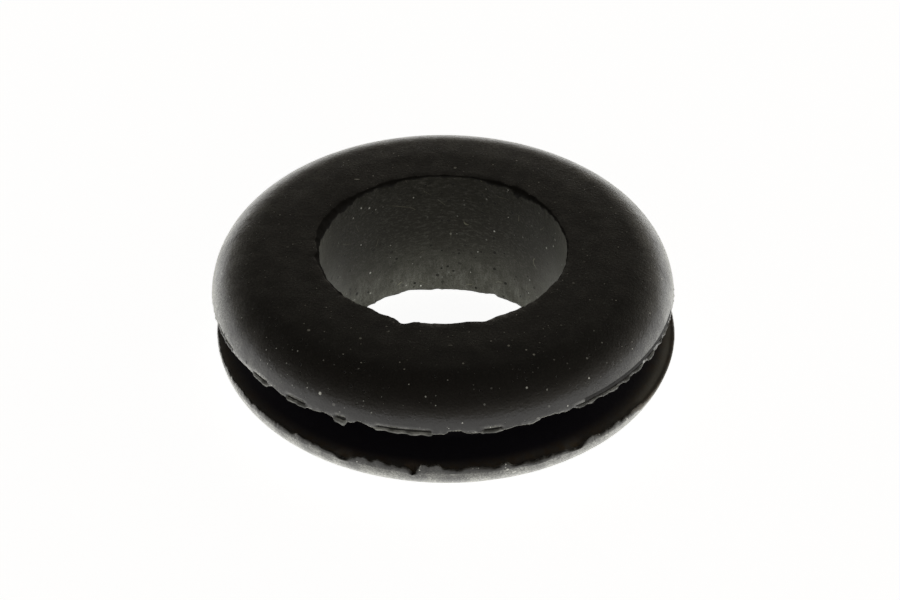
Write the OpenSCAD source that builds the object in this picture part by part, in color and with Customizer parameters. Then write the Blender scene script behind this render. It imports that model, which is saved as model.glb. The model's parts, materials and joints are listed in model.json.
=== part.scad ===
// Rubber grommet for a round hole in thin sheet: one moulding, a thick ring with
// a groove round its waist for the sheet and a plain round bore for the cable.
// +Z runs along the bore. The origin is on the bore's axis, at mid-height of the
// groove, which is the middle of the sheet once the grommet is fitted.
// The top flange is nearly flat with a full round edge. The bottom flange, the one
// pushed through the hole, slopes off from a narrow flat ring to a smaller round.

/* [Overall] */
// Outside diameter of both flanges
flange_d = 15; // [14:0.5:24]
// Diameter of the cable bore
bore_d = 8; // [4:0.5:9]

/* [Groove] */
// Diameter at the bottom of the groove, which is the hole in the sheet
waist_d = 11; // [10:0.5:12.5]
// Width of the groove, which is the thickness of the sheet
groove_w = 1.5; // [0.8:0.1:4]

/* [Top flange] */
// Height of the top flange above the groove
top_t = 1.6; // [1:0.1:4]
// Radius that rounds the top flange's outer edge
top_edge_r = 1.55; // [0.4:0.05:1.9]
// Width of the flat face from the bore outwards
top_face_w = 1.3; // [0.3:0.1:2]

/* [Bottom flange] */
// Height of the bottom flange below the groove
bottom_t = 1.6; // [1:0.1:4]
// Radius that rounds the bottom flange's outer edge
bottom_edge_r = 1; // [0.4:0.05:1.9]
// Width of the flat ring round the bore that the grommet stands on
bottom_face_w = 0.7; // [0.3:0.1:2]

/* [Hidden] */
$fn = 96;

bore_r = bore_d / 2;
waist_r = waist_d / 2;
flange_r = flange_d / 2;
wall_z = groove_w / 2;
// How far inside the edge circle the slope runs, so that the two cross cleanly
tuck = 0.001;

// A point at distance r and angle a from a circle's centre
function on_circle(centre, r, a) = centre + r * [cos(a), sin(a)];

// The circle that rounds a flange's outer edge. It leaves the groove's wall
// square, and its radius can't be more than the flange's height.
function edge_circle_r(t, edge_r) = min(edge_r, t);
function edge_centre(t, edge_r) = [flange_r - edge_circle_r(t, edge_r), wall_z];

// Where the flat face round the bore ends
function face_end(t, face_w) = [bore_r + face_w, wall_z + t];

// The angle on the edge circle at which a line to the end of the flat face leaves it
function slope_a(t, edge_r, face_w) =
    let (v = face_end(t, face_w) - edge_centre(t, edge_r))
    atan2(v.y, v.x) - acos(min(1, (edge_circle_r(t, edge_r) - tuck) / norm(v)));

// The straight lines of one flange's half section, from the groove's corner out
// along its wall, across inside the rounded edge, then along the slope and the
// flat face to the bore
function flange_lines(t, edge_r, face_w) =
    let (r = edge_circle_r(t, edge_r), centre = edge_centre(t, edge_r))
    [[waist_r, wall_z], centre + [r / 2, 0],
     on_circle(centre, r - tuck, slope_a(t, edge_r, face_w)),
     face_end(t, face_w), [bore_r, wall_z + t]];

// The same points below the groove, in the opposite order
function mirrored(points) =
    [for (i = [len(points) - 1 : -1 : 0]) [points[i].x, -points[i].y]];

// The rounded edge: a slice of the edge circle, from the groove's wall to a
// little past the angle where the slope takes over
module rounded_edge(t, edge_r, face_w) {
    r = edge_circle_r(t, edge_r);
    centre = edge_centre(t, edge_r);
    a = slope_a(t, edge_r, face_w) + 10;
    intersection() {
        translate(centre) circle(r);
        polygon([centre, on_circle(centre, 3 * r, 0), on_circle(centre, 3 * r, a / 2),
                 on_circle(centre, 3 * r, a)]);
    }
}

module half_section() {
    polygon(concat(flange_lines(top_t, top_edge_r, top_face_w),
                   mirrored(flange_lines(bottom_t, bottom_edge_r, bottom_face_w))));
    rounded_edge(top_t, top_edge_r, top_face_w);
    mirror([0, 1]) rounded_edge(bottom_t, bottom_edge_r, bottom_face_w);
}

module grommet() {
    color([0.09, 0.085, 0.08])
    rotate_extrude() half_section();
}

grommet();
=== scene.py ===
# %% [markdown]
# # A rubber grommet, modelled from its section
#
# A grommet lines the edge of a hole in thin sheet so that a cable passing through
# isn't cut. It is one moulding in black rubber: two flanges, a groove between them
# that grips the sheet, and a bore. This lesson builds it as a real one leaves the
# mould: the shape is simple, so what makes it look real is the torn skin at the
# bore, the paper-thin flash left at the mould's joint lines, and the way matt
# rubber goes pale only where light skims it.
#
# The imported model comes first. It fixes every size, and all that follows is fitted
# to it, in metres, with the origin in the middle of the bore.

import json
import math

import bpy
import numpy as np
from mathutils import Matrix, Vector


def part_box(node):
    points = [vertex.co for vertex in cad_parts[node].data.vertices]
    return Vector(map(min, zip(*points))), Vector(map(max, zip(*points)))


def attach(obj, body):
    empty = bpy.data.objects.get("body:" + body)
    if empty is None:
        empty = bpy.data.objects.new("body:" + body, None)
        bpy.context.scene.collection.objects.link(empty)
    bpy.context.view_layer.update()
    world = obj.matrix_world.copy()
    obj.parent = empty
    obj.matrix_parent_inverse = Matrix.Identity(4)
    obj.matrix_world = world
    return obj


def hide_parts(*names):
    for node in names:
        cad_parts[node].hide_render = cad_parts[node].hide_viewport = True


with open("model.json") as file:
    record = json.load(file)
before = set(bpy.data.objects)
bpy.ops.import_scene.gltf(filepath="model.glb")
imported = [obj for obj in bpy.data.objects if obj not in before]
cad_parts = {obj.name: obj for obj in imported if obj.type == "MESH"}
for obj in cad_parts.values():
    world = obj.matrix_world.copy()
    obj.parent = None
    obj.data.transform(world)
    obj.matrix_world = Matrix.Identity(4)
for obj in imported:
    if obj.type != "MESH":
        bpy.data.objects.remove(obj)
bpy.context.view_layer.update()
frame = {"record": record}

MM = 0.001

# %% [markdown]
# ## The camera
#
# A small thing looks small when it is seen with a long lens from a hand's breadth
# away: its circles turn into nearly perfect ellipses, and the near side is hardly
# bigger than the far side. The camera is placed by two numbers, how steeply it looks
# down and how far away it is, and then turned by a quarter of a degree because a
# hand-set camera is never level.

# %% Place the camera
CAMERA_HEIGHT_ANGLE = math.radians(37.54)
CAMERA_DISTANCE = 112.65 * MM
CAMERA_LENS = 137.9
CAMERA_TILT = math.radians(0.25)
CAMERA_NEAREST = 5 * MM
AIM_RIGHT = 0.23 * MM
AIM_UP = 0.175 * MM


def add_camera():
    """The camera stands in front (-Y) at the height angle, and looks back along the
    same line. Its aim is moved a little to the right and up in its own view."""
    back = Vector((0, -math.cos(CAMERA_HEIGHT_ANGLE), math.sin(CAMERA_HEIGHT_ANGLE)))
    right = Vector((1, 0, 0))
    up = back.cross(right)
    turn = Matrix((right, up, back)).transposed() @ Matrix.Rotation(CAMERA_TILT, 3, "Z")
    data = bpy.data.cameras.new("camera")
    data.lens = CAMERA_LENS
    data.clip_start = CAMERA_NEAREST
    camera = bpy.data.objects.new("camera", data)
    bpy.context.scene.collection.objects.link(camera)
    place = back * CAMERA_DISTANCE + right * AIM_RIGHT + up * AIM_UP
    camera.matrix_world = Matrix.Translation(place) @ turn.to_4x4()
    bpy.context.scene.camera = camera
    return camera


camera = add_camera()
print("camera at, mm:", [round(v / MM, 1) for v in camera.location])

# %% [markdown]
# ## Light
#
# The grommet lies on a light table, inside a tent of white cloth with a dim room above
# it. Black rubber sends back almost nothing of the light that reaches it square on,
# but it mirrors whatever is pale wherever the surface turns away, so the table and the
# tent are what draw its outline. The world is the tent: pale where it meets the table
# and fading to the dim room overhead, and a little brighter on the right.

# %% Make the tent
TENT_PALE = 0.28
TENT_TOP = 0.056
TENT_COLOUR = (1.0, 0.93, 0.82, 1)
TENT_LEFT, TENT_RIGHT = 0.70, 1.35
TENT_EDGE_LOW, TENT_EDGE_HIGH = 0.05, 0.60


def node(tree, kind, **values):
    """A shader node of that kind. Each value goes to the setting or the socket of that
    name, with spaces written as underscores."""
    made = tree.nodes.new(kind)
    for name, value in values.items():
        if hasattr(made, name):
            setattr(made, name, value)
        else:
            made.inputs[name.replace("_", " ")].default_value = value
    return made


def add_tent():
    """World colour as a function of how high a ray points: its Z, from -1 to 1, is
    mapped smoothly from the pale cloth to the dim top, and it is a little brighter on
    the right than on the left. The camera sees plain white."""
    world = bpy.data.worlds.new("tent")
    bpy.context.scene.world = world
    world.use_nodes = True
    tree = world.node_tree
    tree.nodes.clear()
    link = tree.links.new
    where = node(tree, "ShaderNodeTexCoord")
    split = node(tree, "ShaderNodeSeparateXYZ")
    height = node(tree, "ShaderNodeMapRange", interpolation_type="SMOOTHSTEP",
                  From_Min=TENT_EDGE_LOW, From_Max=TENT_EDGE_HIGH,
                  To_Min=TENT_PALE, To_Max=TENT_TOP)
    across = node(tree, "ShaderNodeMapRange", From_Min=-1, From_Max=1,
                  To_Min=TENT_LEFT, To_Max=TENT_RIGHT)
    strength = node(tree, "ShaderNodeMath", operation="MULTIPLY")
    cloth = node(tree, "ShaderNodeBackground", Color=TENT_COLOUR)
    white = node(tree, "ShaderNodeBackground", Color=(1, 1, 1, 1), Strength=1)
    ray = node(tree, "ShaderNodeLightPath")
    mix = node(tree, "ShaderNodeMixShader")
    out = node(tree, "ShaderNodeOutputWorld")
    link(where.outputs["Generated"], split.inputs[0])
    link(split.outputs["Z"], height.inputs["Value"])
    link(split.outputs["X"], across.inputs["Value"])
    link(height.outputs["Result"], strength.inputs[0])
    link(across.outputs["Result"], strength.inputs[1])
    link(strength.outputs[0], cloth.inputs["Strength"])
    link(ray.outputs["Is Camera Ray"], mix.inputs["Fac"])
    link(cloth.outputs[0], mix.inputs[1])
    link(white.outputs[0], mix.inputs[2])
    link(mix.outputs[0], out.inputs["Surface"])


add_tent()
bpy.context.scene.view_settings.view_transform = "Standard"
print("world:", bpy.context.scene.world.name)

# %% [markdown]
# ## The floor
#
# A light table under the part. Its glow and what it sends back of the tent's light add
# up to plain white. Because part of it is real paint, the grommet keeps a faint shadow
# and doesn't seem to float.

# %% Lay the floor
FLOOR_SIZE = 2000 * MM
FLOOR_GLOW = 0.93
FLOOR_PAINT = 0.80


def floor_paint():
    """A glowing sheet with grey diffuse paint on it, one added to the other."""
    paint = bpy.data.materials.new("floor_paint")
    paint.cycles.emission_sampling = "NONE"
    paint.use_nodes = True
    tree = paint.node_tree
    tree.nodes.clear()
    matt = node(tree, "ShaderNodeBsdfDiffuse", Color=(FLOOR_PAINT,) * 3 + (1,))
    glow = node(tree, "ShaderNodeEmission", Color=(1, 1, 1, 1), Strength=FLOOR_GLOW)
    both = node(tree, "ShaderNodeAddShader")
    out = node(tree, "ShaderNodeOutputMaterial")
    tree.links.new(matt.outputs[0], both.inputs[0])
    tree.links.new(glow.outputs[0], both.inputs[1])
    tree.links.new(both.outputs[0], out.inputs["Surface"])
    return paint


def add_floor(height):
    """One large square, level with the underside of the part."""
    half = FLOOR_SIZE / 2
    mesh = bpy.data.meshes.new("floor")
    corners = [(-half, -half, height), (half, -half, height),
               (half, half, height), (-half, half, height)]
    mesh.from_pydata(corners, [], [(0, 1, 2, 3)])
    mesh.materials.append(floor_paint())
    floor = bpy.data.objects.new("floor", mesh)
    bpy.context.scene.collection.objects.link(floor)


low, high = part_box("grommet")
add_floor(low.z)
print("floor at z, mm:", round(low.z / MM, 3))

# %% [markdown]
# ## The section's sizes
#
# The bore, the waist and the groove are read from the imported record, and the flange
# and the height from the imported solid's box. Only the two edge roundings and the
# widths of the two flat faces are written here again, because the record has no
# place for them. From here on lengths are in millimetres until the mesh is made.

# %% Read the sizes
mounts = {m["name"]: m["dims"] for m in frame["record"]["mounts"]}
BORE_R = mounts["cable_bore"]["r_mm"]
WAIST_R = mounts["panel_groove"]["r_mm"]
WALL_Z = mounts["panel_groove"]["length_mm"] / 2
FLANGE_R = high.x / MM
TOP_Z = high.z / MM
TOP_EDGE_R, TOP_FACE_W = 1.55, 1.3
BOTTOM_EDGE_R, BOTTOM_FACE_W = 1.0, 0.7
COLUMNS = 1000
angle = np.linspace(0, 2 * np.pi, COLUMNS, endpoint=False)
print("bore, waist, flange radius and half height, mm:",
      BORE_R, WAIST_R, round(FLANGE_R, 3), round(TOP_Z, 3))

# %% [markdown]
# ## Roughness that repeats
#
# Torn rubber isn't random in the way that static is: it has large bites, smaller
# ones within them, and a grain. Two helpers give that. The first runs around the
# ring and joins up with itself. The second fills space, so it has no seam anywhere.
# Two more place things around the ring: a single hill, and a stretch from one angle to
# another. Angles are in degrees, anticlockwise from +X, so the front is at 270.

# %% Ring noise and space noise


def ring_noise(slowest, fastest, seed):
    """Waves around the ring. The sum of cosines with whole numbers of waves from
    slowest to fastest, each at a random phase and weaker as it gets finer, scaled
    to a standard deviation of 1."""
    rng = np.random.default_rng(seed)
    waves = np.arange(slowest, fastest + 1)
    strength = rng.normal(size=len(waves)) / np.sqrt(waves)
    phase = rng.uniform(0, 2 * np.pi, len(waves))
    total = (strength[:, None] * np.cos(waves[:, None] * angle + phase[:, None])).sum(0)
    return total / total.std()


def lattice_value(i, j, k, seed):
    """A repeatable random number from -1 to 1 for each whole-number point, from
    multiplying its coordinates by large primes and mixing the bits."""
    h = (i * 374761393 + j * 668265263 + k * 974634777 + seed * 362437) & 0xFFFFFFFF
    h = ((h ^ (h >> 13)) * 1274126177) & 0xFFFFFFFF
    return ((h ^ (h >> 16)) & 0xFFFF) / 32767.5 - 1


def space_noise(x, y, z, size, seed):
    """Smooth noise with lumps of about the given size: each point blends the values
    of the eight whole-number points around it, by the curve 3t^2 - 2t^3."""
    whole, part = [], []
    for v in (x, y, z):
        base = np.floor(v / size)
        t = v / size - base
        whole.append(base.astype(np.int64))
        part.append(t * t * (3 - 2 * t))
    total = 0
    for di in (0, 1):
        for dj in (0, 1):
            for dk in (0, 1):
                weight = (np.where(di, part[0], 1 - part[0])
                          * np.where(dj, part[1], 1 - part[1])
                          * np.where(dk, part[2], 1 - part[2]))
                total = total + weight * lattice_value(
                    whole[0] + di, whole[1] + dj, whole[2] + dk, seed)
    return total


print("ring noise check, mean and deviation:",
      ring_noise(3, 40, 1).mean().round(3), ring_noise(3, 40, 1).std().round(3))

# %% Hills and stretches


def bump(centre, half_width):
    """A smooth hill around the ring, 1 at an angle in degrees and 0 from half_width
    degrees away: the curve cos^2."""
    away = (np.degrees(angle) - centre + 180) % 360 - 180
    return np.where(abs(away) < half_width,
                    np.cos(np.pi * away / half_width / 2) ** 2, 0)


def stretch(start, end, ramp=1.5):
    """1 from one angle to another in degrees, going on anticlockwise, with short
    smooth ramps at both ends."""
    middle, half = (start + end) / 2, (end - start) / 2
    away = abs((np.degrees(angle) - middle + 180) % 360 - 180)
    t = np.clip((half - away) / ramp, 0, 1)
    return t * t * (3 - 2 * t)


print("share of the ring in a stretch of 90 degrees:", stretch(0, 90).mean().round(3))

# %% [markdown]
# ## Torn rims of the bore
#
# The bore of a cheap grommet is moulded shut by a skin and punched or torn open, so
# its rims are ragged: here and there the skin took a sliver of the face with it and
# left a dark rounded edge, and in one place it left a lip. Each rim is described by
# three curves around the ring: how far the rounding eats into the face, how far down
# the wall, and how far the whole rim is moved out from the bore.

# %% Shape the rims
COMMON_WIDTH = 0.035
LEAST_WIDTH, MOST_WIDTH = 0.012, 0.4
LEAST_DEPTH, MOST_DEPTH = 0.008, 0.3


def rim(widths, dents, grain, seed):
    """Rounding's width, its depth and the rim's shift around the ring, in mm. widths
    and dents are lists of (angle, half width in degrees, size in mm) hills. Slow noise
    roughens the width, and fast noise the line where the wall begins."""
    wide = COMMON_WIDTH + sum(size * bump(at, half) for at, half, size in widths)
    wide = np.clip(wide * (1 + 0.25 * ring_noise(5, 60, seed)), LEAST_WIDTH, MOST_WIDTH)
    deep = wide * (0.75 + 0.20 * ring_noise(12, 75, seed + 1))
    deep = deep + grain * (1.2 + 1.5 * ring_noise(50, 160, seed + 2))
    shift = sum(size * bump(at, half) for at, half, size in dents)
    shift = shift + grain * ring_noise(12, 90, seed + 3)
    return wide, np.clip(deep, LEAST_DEPTH, MOST_DEPTH), shift


TOP_RIM = rim(widths=[(160, 50, 0.235), (212, 45, 0.09), (118, 25, 0.09), (55, 36, 0.13),
                      (10, 40, 0.04)],
              dents=[(270, 80, -0.04), (236, 7, -0.08), (252.5, 6.5, 0.20), (289, 6, 0.05)],
              grain=0.009, seed=11)
BOTTOM_RIM = rim(widths=[(20, 60, 0.03), (220, 60, 0.04)],
                 dents=[(90, 120, -0.085), (107, 11, 0.12), (120, 8, 0.05), (66, 4, 0.10),
                        (284, 10, 0.08), (310, 12, -0.06)],
                 grain=0.008, seed=31)
print("top rounding, widest and mean, mm:",
      TOP_RIM[0].max().round(3), TOP_RIM[0].mean().round(3))

# %% [markdown]
# ## Flash and tears at the flanges' edges
#
# Where the halves of a mould meet, a film of rubber creeps out. It hangs on as a thin
# lip in some places and has torn off in others. On the top flange the joint line is
# the lower outer edge. On the bottom flange the film has taken bites out of the
# upper edge as it tore, and at the right the whole shoulder has worn away.
#
# Flash is listed as its start, its end and its length in mm. Bites are listed as the
# middle, the half width and the depth, which is in mm on the bottom flange and a share
# of the lip on the top one.

# %% Shape the lips and the bites
TOP_FLASH = [(196, 208, 0.01), (217, 223.5, 0.065), (229, 236, 0.06), (243, 247, 0.10),
             (253.5, 268, 0.05), (279, 285, 0.035), (12, 30, 0.04), (48, 75, 0.03),
             (96, 104, 0.07), (131, 150, 0.03)]
TOP_SERRATED = [(303, 328, 0.030), (328, 334, 0.045), (335, 348, 0.028), (105, 125, 0.05)]
TOP_BITES = [(225.5, 2.5, 0.4), (240.5, 2.2, 0.4), (250.3, 2.6, 0.7), (273.3, 3.2, 0.8),
             (288.5, 3, 0.3), (297, 6, 0.75), (302.5, 2, 0.5), (310, 2, 0.3), (85, 6, 0.6),
             (160, 7, 0.5)]
BOTTOM_FLASH = [(196, 241, 0.055), (246, 282, 0.12), (282, 299, 0.09), (304, 328, 0.06),
                (60, 110, 0.05), (150, 170, 0.06)]
BOTTOM_BITES = [(244.5, 3.0, 0.11), (262.2, 2.4, 0.21), (257.5, 2.0, 0.04),
                (278, 3.0, 0.03), (287, 4, 0.05), (293, 5.5, 0.15), (303.8, 3.8, 0.11),
                (318, 2.0, 0.04), (40, 4, 0.12), (128, 3, 0.16)]
WORN_AT, WORN_HALF_WIDTH, WORN_DEPTH = 343, 38, 0.10
DEEPEST_BITE = 0.3
MOST_TORN_SHARE = 0.85


def lip_length(stretches, uneven, seed, ramp=0.7, slowest=16):
    """How far the flash stands out around the ring, in mm: its length within each
    stretch, made uneven, and nothing between them."""
    length = sum(size * stretch(start, end, ramp) for start, end, size in stretches)
    change = 0.75 * ring_noise(slowest, 120, seed) + 0.25 * ring_noise(90, 330, seed + 1)
    return length * np.clip(1 + uneven * change, 0.05, 2)


def bite_depth(bites, seed):
    """How deep the tears go around the ring: a pointed hill for each, with a grain
    on it."""
    depth = sum(size * bump(at, half) ** 0.8 for at, half, size in bites)
    return depth * (1 + 0.2 * ring_noise(30, 160, seed))


top_lip = lip_length(TOP_FLASH, 0.35, 51) + lip_length(TOP_SERRATED, 1.3, 53, slowest=36)
bottom_ridge = lip_length(BOTTOM_FLASH, 0.55, 61, ramp=3)
worn = bump(WORN_AT, WORN_HALF_WIDTH)
bites = np.clip(bite_depth(BOTTOM_BITES, 71) + WORN_DEPTH * worn, 0, DEEPEST_BITE)
top_bites = np.clip(bite_depth(TOP_BITES, 73), 0, MOST_TORN_SHARE)
crease = sum(stretch(start, end) for start, end, size in TOP_FLASH + TOP_SERRATED)
crease = np.clip(crease, 0, 1)
print("longest lip and deepest bite, mm:", top_lip.max().round(3), bites.max().round(3))

# %% [markdown]
# ## The skin, one band at a time
#
# The whole surface is one closed sheet: a section curve that runs up the bore, over
# the top flange, through the groove, round the bottom flange and back, carried once
# around the axis. A Screw modifier could turn a drawn section too, but every column
# would be alike, and here each one has its own rims, lips and bites. So each band
# gives the radius and the height of its rows at every column, from its first row up
# to the next band's first row.

# %% Lines and arcs of the section


def spread(rows):
    """Numbers from 0 up to but not including 1, evenly spaced."""
    return (np.arange(rows) / rows)[:, None]


def both_ends(rows):
    """Numbers from 0 up to but not including 1, crowded at both ends by a cosine."""
    return (1 - np.cos(np.pi * np.arange(rows) / rows))[:, None] / 2


def between(start, end, t):
    """Straight from one (radius, height) to another. Each may vary around the ring."""
    ring = np.ones(COLUMNS)
    return tuple((a * (1 - t) + b * t) * ring for a, b in zip(start, end))


def arc(centre_r, centre_z, radius, start, end, t):
    """Along a circle, from one angle to another, in radians from straight out."""
    turn = (start * (1 - t) + end * t) * np.ones(COLUMNS)
    return centre_r + radius * np.cos(turn), centre_z + radius * np.sin(turn)


def slope_turn(edge_r, face_w):
    """The angle at which the edge's circle meets the straight line that touches it
    and ends where the flat face does."""
    across = BORE_R + face_w - (FLANGE_R - edge_r)
    up = TOP_Z - WALL_Z
    return math.atan2(up, across) - math.acos(min(1, edge_r / math.hypot(across, up)))


TOP_TURN = slope_turn(TOP_EDGE_R, TOP_FACE_W)
BOTTOM_TURN = slope_turn(BOTTOM_EDGE_R, BOTTOM_FACE_W)
print("edge circles end at, degrees:", round(math.degrees(TOP_TURN), 2),
      round(math.degrees(BOTTOM_TURN), 2))

# %% Where one band ends and the next begins


def rim_arc(rim_curves, height, sign, t):
    """A quarter of an ellipse from the wall, at t = 0, round to the face, at t = 1."""
    wide, deep, shift = rim_curves
    turn = t * math.pi / 2
    radius = BORE_R + shift + wide * (1 - np.cos(turn))
    return radius, height - sign * deep * (1 - np.sin(turn))


def rim_ends(rim_curves, height, sign):
    """Where the wall ends and where the face begins."""
    return rim_arc(rim_curves, height, sign, 0.0), rim_arc(rim_curves, height, sign, 1.0)


top_wall_end, top_face_start = rim_ends(TOP_RIM, TOP_Z, 1)
bottom_wall_end, bottom_face_start = rim_ends(BOTTOM_RIM, -TOP_Z, -1)
top_face_end = (BORE_R + TOP_FACE_W, TOP_Z)
bottom_face_end = (BORE_R + BOTTOM_FACE_W, -TOP_Z)
top_centre = FLANGE_R - TOP_EDGE_R
bottom_centre = FLANGE_R - BOTTOM_EDGE_R
top_slope = (top_centre + TOP_EDGE_R * math.cos(TOP_TURN),
             WALL_Z + TOP_EDGE_R * math.sin(TOP_TURN))
bottom_slope = (bottom_centre + BOTTOM_EDGE_R * math.cos(BOTTOM_TURN),
                -WALL_Z - BOTTOM_EDGE_R * math.sin(BOTTOM_TURN))
print("top slope begins at radius and height, mm:", [round(v, 3) for v in top_slope])

# %% The wall, the lips and the tears
# The plain side of the top flange ends this far above the groove's roof, in mm
SIDE_END = 0.15
# In from the bottom flange's edge, in mm: where the tears begin and where they end
TEAR_START, TEAR_END = 0.55, 0.13


def wall_rows(t):
    """Up the wall from the lower rim to the upper one. Each rim's shift fades away from
    it as the twelfth power of the way still to go, so the wall between is smooth."""
    low_r, low_z = bottom_wall_end
    high_r, high_z = top_wall_end
    radius = BORE_R + (low_r - BORE_R) * (1 - t) ** 12 + (high_r - BORE_R) * t ** 12
    return radius, low_z * (1 - t) + high_z * t


def lip_rows(lip, crease, bites, ragged):
    """Six rows round the top flange's flash, going down: the end of the side, a crease
    cut in under it, two that slope out along the lip, the lip's lower edge, and its root
    in the groove's roof. Where a bite has been torn out, by a share from 0 to 1, the rows
    close up towards the side."""
    zero = 0 * lip
    out = np.stack([zero, -0.06 * crease, 0.2 * lip - 0.03 * crease, 0.5 * lip,
                    0.35 * lip - 0.01, zero - 0.06])
    up = np.stack([zero + SIDE_END, zero + 0.125, 0.070 - 0.2 * lip, 0.035 - 0.3 * lip,
                   -0.005 - lip, 0.002 - 0.2 * lip])
    share = np.array([0.05, 0.2, 0.6, 1, 1, 0.6])[:, None]
    up = up + 0.6 * share * ragged
    up = SIDE_END + 0.03 - (SIDE_END + 0.03 - up) * (1 - bites)
    return FLANGE_R + out + share * ragged, WALL_Z + up


def ridge_rows(ridge, ragged, bites):
    """Six rows over the bottom flange's upper edge, going down: the flash stands up from
    it as a low ridge, and bites have been torn out of it."""
    out = np.stack([-0.115 - 0.4 * bites, -0.085 - 0.3 * bites, -0.06 - 0.2 * bites,
                    -0.035 + 0 * bites, -0.015 + 0 * bites, 0 * bites])
    up = np.stack([0 * ridge, 0.7 * ridge, 0.012 + ridge, 0.004 + 0.8 * ridge,
                   -0.035 + 0.2 * ridge, -0.09 + 0 * ridge])
    share = np.array([0.5, 0.8, 1, 0.9, 0.7, 0.2])[:, None]
    sink = np.array([0.95, 1, 1, 0.95, 0.8, 0.45])[:, None]
    return FLANGE_R + out + share * ragged, -WALL_Z + up + share * ragged - sink * bites


def tear_rows(t):
    """The last of the groove's floor, where the bites slope down into the edge."""
    radius = (FLANGE_R - TEAR_START) * (1 - t) + (FLANGE_R - TEAR_END - 0.4 * bites) * t
    return radius, -WALL_Z - 0.9 * bites * t ** 2


top_ragged = 0.008 * ring_noise(50, 330, 81) + 0.008 * ring_noise(8, 50, 82)
bottom_ragged = 0.005 * ring_noise(40, 330, 83) + 0.006 * ring_noise(12, 60, 84)
bottom_start = -np.arcsin(np.clip(0.13 + 0.6 * bites, 0, 0.9))
print("top edge uneven by, mm:", top_ragged.std().round(4))

# %% Put the bands in order
# The lip's root is this far in from the edge, and the waist's corners this round, in mm
LIP_ROOT = 0.15
WAIST_ROUND = 0.1
floor_start = (WAIST_R + WAIST_ROUND, -WALL_Z)
floor_end = (FLANGE_R - TEAR_START, -WALL_Z)
roof_start = (FLANGE_R - LIP_ROOT, WALL_Z)
roof_end = (WAIST_R + WAIST_ROUND, WALL_Z)
waist_start = (WAIST_R, WALL_Z - WAIST_ROUND)
waist_end = (WAIST_R, WAIST_ROUND - WALL_Z)
bands = {
    "bore_wall": wall_rows(both_ends(14)),
    "top_rim": rim_arc(TOP_RIM, TOP_Z, 1, spread(5)),
    "top_face": between(top_face_start, top_face_end, spread(5)),
    "top_slope": between(top_face_end, top_slope, spread(3)),
    "top_edge": arc(top_centre, WALL_Z, TOP_EDGE_R, TOP_TURN, SIDE_END / TOP_EDGE_R,
                    spread(18)),
    "top_lip": lip_rows(top_lip, crease, top_bites, top_ragged),
    "groove_roof": between(roof_start, roof_end, spread(3)),
    "waist": between(waist_start, waist_end, spread(4)),
    "groove_floor": between(floor_start, floor_end, spread(4)),
    "bottom_tear": tear_rows(spread(4)),
    "bottom_ridge": ridge_rows(bottom_ridge, bottom_ragged, bites),
    "bottom_edge": arc(bottom_centre, -WALL_Z, BOTTOM_EDGE_R, bottom_start, -BOTTOM_TURN,
                       spread(12)),
    "bottom_slope": between(bottom_slope, bottom_face_end, spread(4)),
    "bottom_face": between(bottom_face_end, bottom_face_start, spread(3)),
    "bottom_rim": rim_arc(BOTTOM_RIM, -TOP_Z, -1, 1 - spread(4)),
}
rows = {name: len(band[0]) for name, band in bands.items()}
print("rows in each band:", rows, "total", sum(rows.values()))

# %% [markdown]
# ## Carry the section round
#
# The bands are stacked into one grid of radius and height. Then come the parts that
# no drawing has: the two mould halves sat a tenth of a millimetre out of line, so the
# bottom flange is shifted to one side, and the whole skin is very slightly uneven.
# The shift grows with the radius, so in the bore it is half as much.
# The unevenness moves each point along the section's own normal, which is the
# direction square to the line between the rows before and after it.

# %% Build the grid
MISMATCH = 0.10
names = list(bands)
grid_r = np.concatenate([bands[n][0] for n in names])
grid_z = np.concatenate([bands[n][1] for n in names])
row_band = np.repeat(names, [rows[n] for n in names])


def section_normal(r, z):
    """Square to the line from the row before to the row after, of length 1, and
    pointing out of the rubber: the line turned a quarter turn to its left."""
    dr = np.roll(r, -1, 0) - np.roll(r, 1, 0)
    dz = np.roll(z, -1, 0) - np.roll(z, 1, 0)
    size = np.maximum(np.hypot(dr, dz), 1e-9)
    return -dz / size, dr / size


def to_points(r, z):
    """Radius, height and column angle to x, y and z."""
    return r * np.cos(angle), r * np.sin(angle), z


# How far the skin is pushed in or out, and how large its lumps are, in mm
UNEVEN = {"bore_wall": 0.016, "top_rim": 0.012, "bottom_rim": 0.012}
UNEVEN_ELSEWHERE = 0.006
LARGE_LUMP, SMALL_LUMP = 0.9, 0.35
x, y, z = to_points(grid_r, grid_z)
amount = np.array([UNEVEN.get(n, UNEVEN_ELSEWHERE) for n in row_band])[:, None]
has_small_lumps = np.array([n != "bore_wall" for n in row_band])[:, None]
large_lumps = space_noise(x, y, z, LARGE_LUMP, 5)
small_lumps = space_noise(x, y, z, SMALL_LUMP, 6)
lumps = 0.6 * large_lumps + 0.4 * has_small_lumps * small_lumps
out_r, out_z = section_normal(grid_r, grid_z)
grid_r = grid_r + amount * lumps * out_r
grid_z = np.clip(grid_z + amount * lumps * out_z, -TOP_Z, TOP_Z)
x, y, z = to_points(grid_r, grid_z)
below_groove = np.clip((WALL_Z - z) / (2 * WALL_Z), 0, 1)
x = x + MISMATCH * below_groove * grid_r / FLANGE_R
points = np.stack([x, y, z], axis=-1) * MM
print("grid:", points.shape[:2], "reach, mm:", (abs(points).max((0, 1)) / MM).round(3))

# %% [markdown]
# ## The mesh
#
# The grid is closed both ways, so every point has four neighbours and there is no
# seam and no pole. The faces go into the mesh as whole arrays, which is far quicker
# than adding them one by one, and are shaded smooth.

# %% Make the mesh


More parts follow.
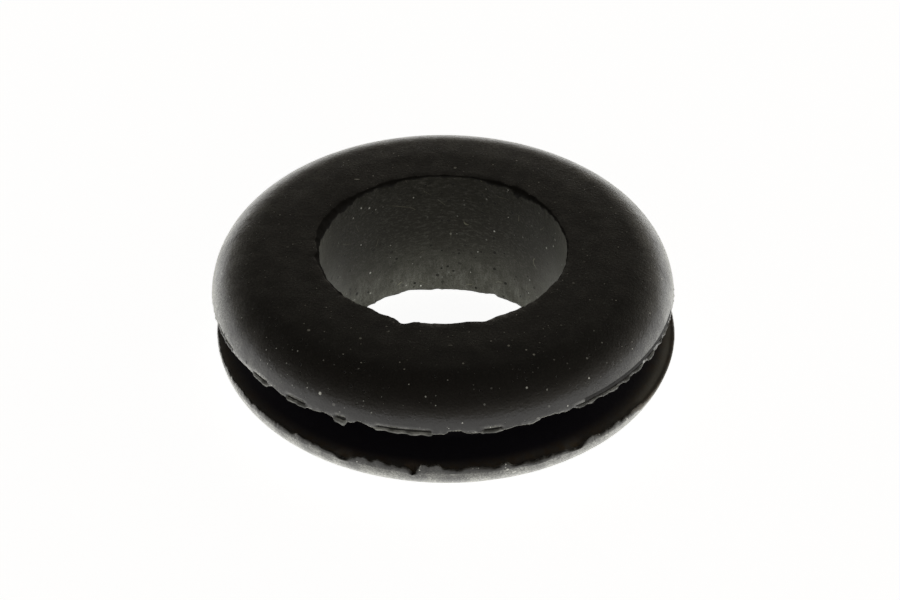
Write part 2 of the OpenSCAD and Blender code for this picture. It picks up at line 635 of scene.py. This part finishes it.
def closed_grid(name, points):
    """A mesh from a grid of points that joins up both ways. Each face takes a point,
    the one in the next row, that one's neighbour in the next column, and the first
    one's neighbour."""
    n_rows, n_columns = points.shape[:2]
    index = np.arange(n_rows * n_columns).reshape(n_rows, n_columns)
    up, side = np.roll(index, -1, 0), np.roll(index, -1, 1)
    corner = np.roll(up, -1, 1)
    faces = np.stack([index, up, corner, side], axis=-1).reshape(-1, 4)
    mesh = bpy.data.meshes.new(name)
    mesh.vertices.add(index.size)
    mesh.vertices.foreach_set("co", points.reshape(-1).astype(np.float32))
    mesh.loops.add(faces.size)
    mesh.loops.foreach_set("vertex_index", faces.reshape(-1).astype(np.int32))
    mesh.polygons.add(len(faces))
    mesh.polygons.foreach_set("loop_start", np.arange(0, faces.size, 4, dtype=np.int32))
    mesh.update(calc_edges=True)
    mesh.polygons.foreach_set("use_smooth", np.ones(len(faces), bool))
    return mesh


skin_mesh = closed_grid("moulded_ring", points)
ring = bpy.data.objects.new("moulded_ring", skin_mesh)
bpy.context.scene.collection.objects.link(ring)
print("faces:", len(skin_mesh.polygons), "as triangles:", 2 * len(skin_mesh.polygons))

# %% [markdown]
# ## Tools for painting rubber
#
# The rubber is filled with carbon black, so every finish here starts from nearly black
# paint, and what sets them apart is gloss, grain and what lies on them. Image textures
# would need a seam and a flat layout of the ring. Patterns worked out from the place in
# space need neither, so each finish is mixed from noise and from round spots, both
# measured in millimetres on the piece itself.

# %% Mixing and measuring
MM_TO_THE_METRE = 1000


def mix_colour(tree, factor, first, second):
    """First where the factor is 0, second where it is 1. Each is a colour or a socket."""
    mix = node(tree, "ShaderNodeMix", data_type="RGBA")
    tree.links.new(factor, mix.inputs["Factor"])
    for socket, value in ((mix.inputs[6], first), (mix.inputs[7], second)):
        if isinstance(value, tuple):
            socket.default_value = value
        else:
            tree.links.new(value, socket)
    return mix.outputs[2]


def maths(tree, operation, first, second=None):
    """One Math node. Each input is a number or a socket."""
    made = node(tree, "ShaderNodeMath", operation=operation)
    for socket, value in zip(made.inputs, (first, second)):
        if value is None:
            continue
        if isinstance(value, (int, float)):
            socket.default_value = value
        else:
            tree.links.new(value, socket)
    return made.outputs[0]


def times(tree, first, second):
    """The product of two numbers or sockets."""
    return maths(tree, "MULTIPLY", first, second)


def in_range(tree, value, low, high, to_low=0.0, to_high=1.0):
    """The value mapped smoothly from one range to another, and held at its ends."""
    made = node(tree, "ShaderNodeMapRange", interpolation_type="SMOOTHSTEP",
                From_Min=low, From_Max=high, To_Min=to_low, To_Max=to_high)
    tree.links.new(value, made.inputs["Value"])
    return made.outputs["Result"]


def in_mm(tree, scale=(1, 1, 1), turn=(0, 0, 0)):
    """The place on the piece in mm, stretched along x, y and z for a streaky grain."""
    where = node(tree, "ShaderNodeTexCoord")
    made = node(tree, "ShaderNodeMapping", Rotation=turn,
                Scale=[MM_TO_THE_METRE * v for v in scale])
    tree.links.new(where.outputs["Object"], made.inputs["Vector"])
    return made.outputs["Vector"]


def axes_of(tree, place):
    """The x, y and z of a place, as sockets called X, Y and Z."""
    axes = node(tree, "ShaderNodeSeparateXYZ")
    tree.links.new(place, axes.inputs[0])
    return axes.outputs


print("pattern units to the metre:", MM_TO_THE_METRE)

# %% Noise, spots and bumps
BUMP_DEPTH = 0.012 * MM


def noise(tree, place, scale, detail=3.0, roughness=0.5):
    """Noise of that many lumps to the mm."""
    made = node(tree, "ShaderNodeTexNoise", Scale=scale, Detail=detail, Roughness=roughness)
    tree.links.new(place, made.inputs["Vector"])
    return made.outputs["Fac"]


def spots(tree, place, scale, share, radius):
    """Round spots, 1 inside and 0 outside, times a random strength for each. Space is
    cut into cells, scale of them to the mm, each with a point somewhere in it. A share
    of the cells has a spot round its point, of a random radius up to the one given."""
    cells = node(tree, "ShaderNodeTexVoronoi", Scale=scale, Randomness=1.0)
    tree.links.new(place, cells.inputs["Vector"])
    chance = node(tree, "ShaderNodeSeparateColor")
    tree.links.new(cells.outputs["Color"], chance.inputs[0])
    size = in_range(tree, chance.outputs[0], 1 - share, 1.0, 0.0, radius * scale)
    inside = maths(tree, "LESS_THAN", cells.outputs["Distance"], size)
    strength = in_range(tree, chance.outputs[1], 0.2, 1.0, 0.15, 1.0)
    return times(tree, inside, strength)


def add_bumps(tree, shader, height, strength, depth=BUMP_DEPTH):
    """Tilt the shader's surface as if the height, from 0 to 1, stood up by the depth."""
    bumps = node(tree, "ShaderNodeBump", Strength=strength, Distance=depth)
    tree.links.new(height, bumps.inputs["Height"])
    tree.links.new(bumps.outputs["Normal"], shader.inputs["Normal"])
    return bumps.outputs["Normal"]


def new_finish(name, **values):
    """A new material with its node tree and its Principled shader. Each value goes to
    the shader's socket of that name, with spaces written as underscores."""
    made = bpy.data.materials.new(name)
    made.use_nodes = True
    shader = made.node_tree.nodes["Principled BSDF"]
    for socket, value in values.items():
        shader.inputs[socket.replace("_", " ")].default_value = value
    print("finish:", name, "with", sorted(values))
    return made, made.node_tree, shader


print("bumps reach, mm:", BUMP_DEPTH / MM)

# %% [markdown]
# ## The moulded skin
#
# The skin that touched the mould is satin. A thin film has sweated out of the rubber,
# and it is modelled as a coat for the gloss at low angles and a sheen for the pale bloom
# there. A painted sheen is also mixed into the colour: it grows as the surface turns away,
# to a power of 3 on top and less lower down, so it is stronger there. The skin has a fine
# orange peel and pinholes, with painted shade in the pinholes. Dust has settled on it,
# more of it towards the front.

# %% Mix the moulded skin
SKIN_COLOUR = (0.0175, 0.0152, 0.0122, 1)
# the pinholes' colour is painted shade
PINHOLE_SHADE_COLOUR = (0.004, 0.0038, 0.0034, 1)
DUST_COLOUR = (0.80, 0.80, 0.72, 1)
# the colour of the painted sheen, mixed in where the surface turns away
PAINTED_SHEEN_COLOUR = (0.62, 0.62, 0.55, 1)
BLOOM_TINT = (1.0, 1.0, 0.88, 1)
# Spots are given as cells to the mm, share of the cells that has one, and radius in mm
DUST = (2.4, 0.6, 0.052)
FINE_DUST = (6.0, 0.5, 0.026)
FRONT_DUST = (4.6, 0.5, 0.034)
FIBRES = (2.2, 0.6, 0.030)
PINHOLES = (5.0, 0.6, 0.05)


def settled_dust(tree, place, toward_y):
    """Each kind of dust as spots: fine, the extra at the front, fibres, which are spots
    drawn out to a little over three times their width, and coarse."""
    fine = spots(tree, place, *FINE_DUST)
    front = times(tree, spots(tree, place, *FRONT_DUST), in_range(tree, toward_y, -3.0, -5.0))
    fibres = spots(tree, in_mm(tree, (0.3, 1, 1), (0.4, 0.3, 0.9)), *FIBRES)
    return fine, front, fibres, spots(tree, place, *DUST)


def painted_sheen(tree, place, height):
    """How much painted sheen the colour takes, from 0 to 1: how far the surface turns away,
    raised to a power that falls from 3 on top to 1.6 low on the ring and rises again
    underneath, times cloudy and powdery patches."""
    facing = node(tree, "ShaderNodeLayerWeight", Blend=0.5)
    power = maths(tree, "ADD", in_range(tree, height, 2.0, -1.0, 3.0, 1.6),
                  in_range(tree, height, -1.5, -2.2, 0.0, 2.0))
    skimmed = maths(tree, "POWER", facing.outputs["Facing"], power)
    clouds = noise(tree, in_mm(tree, (1, 1, 0.6)), 1.6, 3.0)
    powder = noise(tree, place, 15.0, 3.0, 0.7)
    skimmed = times(tree, skimmed, in_range(tree, clouds, 0.36, 0.64, 0.45, 1.3))
    skimmed = times(tree, skimmed, in_range(tree, powder, 0.38, 0.62, 0.45, 1.55))
    return maths(tree, "MINIMUM", skimmed, 1.0)


def moulded_skin():
    """Satin rubber with a painted sheen, orange peel, pinholes with painted shade, dust and
    a few short fibres.
    """
    made, tree, shader = new_finish(
        "moulded_skin", Specular_IOR_Level=0.20, Coat_Weight=1.0, Coat_IOR=1.50,
        Coat_Roughness=0.15, Sheen_Weight=1.0, Sheen_Roughness=0.25, Sheen_Tint=BLOOM_TINT)
    place = in_mm(tree)
    axes = axes_of(tree, place)
    # painted shade: the pinholes are coloured nearly black
    pits = spots(tree, place, *PINHOLES)
    colour = mix_colour(tree, pits, SKIN_COLOUR, PINHOLE_SHADE_COLOUR)
    # painted sheen: the colour goes pale where the surface turns away from the view
    colour = mix_colour(tree, painted_sheen(tree, place, axes["Z"]), colour, PAINTED_SHEEN_COLOUR)
    for layer in settled_dust(tree, place, axes["Y"]):
        colour = mix_colour(tree, layer, colour, DUST_COLOUR)
    tree.links.new(colour, shader.inputs["Base Color"])
    rough = in_range(tree, noise(tree, place, 1.1, 4.0), 0.3, 0.7, 0.35, 0.60)
    tree.links.new(rough, shader.inputs["Roughness"])
    peel = maths(tree, "ADD", noise(tree, place, 12.0, 4.0, 0.6),
                 times(tree, noise(tree, place, 2.2, 2.0), 0.6))
    height = maths(tree, "SUBTRACT", peel, times(tree, pits, 2.0))
    tree.links.new(add_bumps(tree, shader, height, 1.0), shader.inputs["Coat Normal"])
    return made


skin_finish = moulded_skin()

# %% [markdown]
# ## The torn wall
#
# The wall of the bore was torn, not moulded, so it is matt and has no film. Its colour is
# painted paler than the skin towards its lower end, and paler still at its two sides, as
# light from the table below that comes up through the bore. Streaks follow the tear near
# the lower end, fine ridges cross it at two slants, and it has pits with painted shade in
# them, dust and a few hairs. A hair is drawn where a slow noise is within a hair's breadth
# of its middle value, because that is a thin winding line.

# %% Mix the torn wall
WALL_TOP_COLOUR = (0.0150, 0.0136, 0.0088, 1)
# painted light: the colour the wall is painted towards its lower end
WALL_PAINTED_LIGHT_COLOUR = (0.190, 0.193, 0.158, 1)
# painted shade in the pits, and also the dark of the fine grain
WALL_PIT_SHADE_AND_GRAIN_COLOUR = (0.004, 0.004, 0.0035, 1)
WALL_GLOSS_TINT = (1.0, 0.94, 0.76, 1)
RIDGE_COLOUR = (0.175, 0.170, 0.148, 1)
# the streaks' colour, also painted at the wall's two sides as light
STREAK_AND_PAINTED_LIGHT_COLOUR = (0.34, 0.34, 0.30, 1)
HAIR_COLOUR = (0.60, 0.58, 0.40, 1)
WALL_PITS = (5.2, 0.95, 0.062)
WALL_DUST = (4.1, 0.6, 0.038)
RIDGE_SLANTS = ((0.5, 0.9, 0.4), (-0.6, 0.3, 2.0))


def wall_colour_and_painted_light(tree, axes):
    """The wall's colour before its grain: dark at the top, painted pale at the lower end and
    paler still at the two sides as light from below, and streaked near the lower end."""
    # painted light: the wall is painted paler towards its lower end
    lower = in_range(tree, axes["Z"], 0.5, -3.1)
    colour = mix_colour(tree, lower, WALL_TOP_COLOUR, WALL_PAINTED_LIGHT_COLOUR)
    # painted light: paler still at the two sides
    sides = in_range(tree, maths(tree, "ABSOLUTE", axes["X"]), 3.1, 3.85)
    sides = times(tree, sides, in_range(tree, axes["Z"], 1.2, -1.8, 0.0, 0.80))
    colour = mix_colour(tree, sides, colour, STREAK_AND_PAINTED_LIGHT_COLOUR)
    streaks = in_range(tree, noise(tree, in_mm(tree, (1, 1, 0.28)), 9.0, 4.0, 0.7), 0.46, 0.66)
    streaks = times(tree, streaks, in_range(tree, axes["Z"], -0.6, -2.2, 0.0, 0.5))
    return mix_colour(tree, streaks, colour, STREAK_AND_PAINTED_LIGHT_COLOUR)


def wall_hair(tree, place):
    """Thin lines where one noise is at its middle, kept only where another is high."""
    away = maths(tree, "ABSOLUTE", maths(tree, "SUBTRACT", noise(tree, place, 0.8, 0.0), 0.5))
    return times(tree, in_range(tree, away, 0.0, 0.005, 0.35, 0.0),
                 in_range(tree, noise(tree, place, 1.9, 0.0), 0.66, 0.69))


def torn_wall():
    """Matt rubber, painted paler towards the lower end as light, with streaks, pits with
    painted shade, dust and hairs.
    """
    made, tree, shader = new_finish(
        "torn_wall", Specular_IOR_Level=0.16, Specular_Tint=WALL_GLOSS_TINT, Roughness=0.5,
        Sheen_Weight=0.35, Sheen_Roughness=0.45, Sheen_Tint=BLOOM_TINT)
    place = in_mm(tree)
    colour = wall_colour_and_painted_light(tree, axes_of(tree, place))
    for turn in RIDGE_SLANTS:
        ridges = noise(tree, in_mm(tree, (0.3, 1, 1), turn), 13.0, 4.0, 0.75)
        ridges = in_range(tree, ridges, 0.50, 0.66, 0.0, 0.36)
        colour = mix_colour(tree, ridges, colour, RIDGE_COLOUR)
    grain = in_range(tree, noise(tree, place, 24.0, 4.0, 0.8), 0.56, 0.42, 0.0, 0.45)
    colour = mix_colour(tree, grain, colour, WALL_PIT_SHADE_AND_GRAIN_COLOUR)
    mottle = in_range(tree, noise(tree, place, 2.2, 5.0, 0.6), 0.30, 0.62, 0.45, 0.0)
    colour = mix_colour(tree, mottle, colour, WALL_TOP_COLOUR)
    colour = mix_colour(tree, wall_hair(tree, place), colour, HAIR_COLOUR)
    # painted shade: the pits are coloured nearly black
    pits = spots(tree, place, *WALL_PITS)
    colour = mix_colour(tree, pits, colour, WALL_PIT_SHADE_AND_GRAIN_COLOUR)
    colour = mix_colour(tree, spots(tree, place, *WALL_DUST), colour, DUST_COLOUR)
    tree.links.new(colour, shader.inputs["Base Color"])
    height = maths(tree, "SUBTRACT", noise(tree, place, 9.0, 4.0), pits)
    add_bumps(tree, shader, height, 0.7)
    return made


wall_finish = torn_wall()

# %% [markdown]
# ## Bare rubber, rims and flash
#
# The groove never gets the film or the dust, so its rubber stays dark. Out at the
# flanges' edges it is browner where the flash has been torn off, and its colour there is
# also painted paler, as light that reaches in from the edge, most of all along the margin
# at the two sides. The rounded rims of the bore are the darkest of all. The flash itself
# is coloured pale. These are three materials rather than one, because their borders are
# sharp and follow the rows of the mesh.

# %% Mix the bare rubber
BARE_COLOUR = (0.029, 0.026, 0.036, 1)
# the torn edge's colours: brown from the tear, and painted pale as light
TORN_GREY_AND_PAINTED_LIGHT = (0.150, 0.140, 0.122, 1)
TORN_BROWN_AND_PAINTED_LIGHT = (0.17, 0.13, 0.085, 1)
# painted light along the margin at the two sides
TORN_MARGIN_PAINTED_LIGHT = (0.30, 0.29, 0.25, 1)


def torn_colour_and_painted_light(tree, place, radius):
    """The colour out at the edges: patches of two browns, painted pale as light, and painted
    palest along the margin of the flange at the two sides."""
    brown = in_range(tree, noise(tree, place, 2.5, 4.0, 0.6), 0.40, 0.65)
    torn = mix_colour(tree, brown, TORN_GREY_AND_PAINTED_LIGHT, TORN_BROWN_AND_PAINTED_LIGHT)
    sides = in_range(tree, maths(tree, "ABSOLUTE", axes_of(tree, place)["X"]), 4.5, 6.8)
    margin = maths(tree, "SUBTRACT", in_range(tree, radius, 7.12, 7.45),
                   in_range(tree, radius, 7.40, 7.50, 0.0, 0.7))
    # painted light: palest along the margin at the two sides
    return mix_colour(tree, times(tree, sides, margin), torn, TORN_MARGIN_PAINTED_LIGHT)


def bare_rubber():
    """Dark rubber without sheen or dust, browner from 6.8 mm off the axis outwards, where
    its colour is also painted paler as light."""
    made, tree, shader = new_finish("bare_rubber", Specular_IOR_Level=0.35, Roughness=0.5)
    place = in_mm(tree)
    from_axis = node(tree, "ShaderNodeVectorMath", operation="LENGTH")
    tree.links.new(in_mm(tree, (1, 1, 0)), from_axis.inputs[0])
    radius = from_axis.outputs["Value"]
    # painted light: paler and browner from 6.8 mm outwards
    outer = in_range(tree, radius, 6.8, 7.45)
    colour = mix_colour(tree, outer, BARE_COLOUR, torn_colour_and_painted_light(tree, place, radius))
    tree.links.new(colour, shader.inputs["Base Color"])
    add_bumps(tree, shader, noise(tree, place, 11.0, 4.0), 0.6)
    return made


bare_finish = bare_rubber()

# %% Mix the flash and the rims
FLASH_COLOUR = (0.24, 0.24, 0.215, 1)
FLASH_DARK_COLOUR = (0.09, 0.09, 0.08, 1)
RIM_COLOUR = (0.018, 0.0165, 0.014, 1)
RIM_BUMP_DEPTH = 0.02 * MM


def stretched_flash():
    """The thin film at the joint line, coloured pale, with darker patches."""
    made, tree, shader = new_finish("stretched_flash", Specular_IOR_Level=0.3, Roughness=0.6)
    patches = in_range(tree, noise(tree, in_mm(tree), 3.0, 3.0), 0.40, 0.62)
    colour = mix_colour(tree, patches, FLASH_DARK_COLOUR, FLASH_COLOUR)
    tree.links.new(colour, shader.inputs["Base Color"])
    return made


def shadowed_rim():
    """The rounded edge of the bore, where the moulded skin turned in and came away. It
    is matt and nearly black."""
    made, tree, shader = new_finish("shadowed_rim", Base_Color=RIM_COLOUR,
                                    Specular_IOR_Level=0.25, Roughness=0.6)
    add_bumps(tree, shader, noise(tree, in_mm(tree), 8.0, 3.0), 0.8, RIM_BUMP_DEPTH)
    return made


flash_finish = stretched_flash()
rim_finish = shadowed_rim()

# %% [markdown]
# ## Which face gets which finish
#
# Most faces take the finish of their band. The exceptions follow the damage, so they are
# picked by the same curves that shaped it: the crease above the flash and a band along the
# lowest row of the top edge over the ragged lip at the right take the dark rim finish as
# painted shade, the flash is pale where it stands out, and the worn shoulder of the bottom
# flange is bare rubber, over a shorter stretch on each row down. A little noise on a
# border keeps it from looking ruled.

# %% Give each band its finish
SKIN, WALL, BARE, FLASH, RIM = range(5)
for finish in (skin_finish, wall_finish, bare_finish, flash_finish, rim_finish):
    skin_mesh.materials.append(finish)
FINISH_OF_BAND = {"bore_wall": WALL, "top_rim": RIM, "bottom_rim": RIM, "groove_roof": BARE,
                  "waist": BARE, "groove_floor": BARE, "bottom_tear": BARE}
finish_of_row = np.array([FINISH_OF_BAND.get(n, SKIN) for n in row_band])
finish_of_face = finish_of_row[:, None] * np.ones(COLUMNS, int)


def rows_of(*wanted):
    """The numbers of the rows in those bands, in the order of the section."""
    return np.flatnonzero(np.isin(row_band, wanted))


finish_of_face[rows_of("top_rim")[-1]] = SKIN
finish_of_face[rows_of("bottom_ridge")[0]] = BARE
print("faces of each finish by band:", np.bincount(finish_of_face.ravel(), minlength=5))

# %% Follow the damage
SHADE_BAND_START, SHADE_BAND_END, SHADE_BAND_RAMP = 303, 352, 8
SHADE_BAND_BORDER, CREASE_SHADE_BORDER = 0.4, 0.5
SHORTEST_FLASH = 0.02
SHOULDER_ROWS = 7
SHOULDER_BORDER, SHOULDER_STEP = 0.3, 0.05
# painted shade: a band over the ragged lip at the right takes the dark rim finish
painted_shade_band = stretch(SHADE_BAND_START, SHADE_BAND_END, SHADE_BAND_RAMP) + 0.15 * ring_noise(25, 160, 93)
finish_of_face[rows_of("top_edge")[-1], painted_shade_band > SHADE_BAND_BORDER] = RIM
lip_faces = rows_of("top_lip")
# painted shade: the crease above the flash takes the dark rim finish
finish_of_face[np.ix_(lip_faces[:2], crease > CREASE_SHADE_BORDER)] = RIM
finish_of_face[np.ix_(lip_faces[2:4], top_lip > SHORTEST_FLASH)] = FLASH
uneven_worn = worn + 0.03 * ring_noise(8, 60, 91)
shoulder = rows_of("bottom_ridge", "bottom_edge")[:SHOULDER_ROWS]
for step, face_row in enumerate(shoulder):
    finish_of_face[face_row, uneven_worn > SHOULDER_BORDER + SHOULDER_STEP * step] = BARE
skin_mesh.polygons.foreach_set("material_index", finish_of_face.reshape(-1).astype(np.int32))
print("faces of each finish:", np.bincount(finish_of_face.ravel(), minlength=5),
      [finish.name for finish in skin_mesh.materials])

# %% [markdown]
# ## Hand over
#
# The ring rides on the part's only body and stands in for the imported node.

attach(ring, "root")
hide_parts("grommet")
bpy.context.view_layer.update()
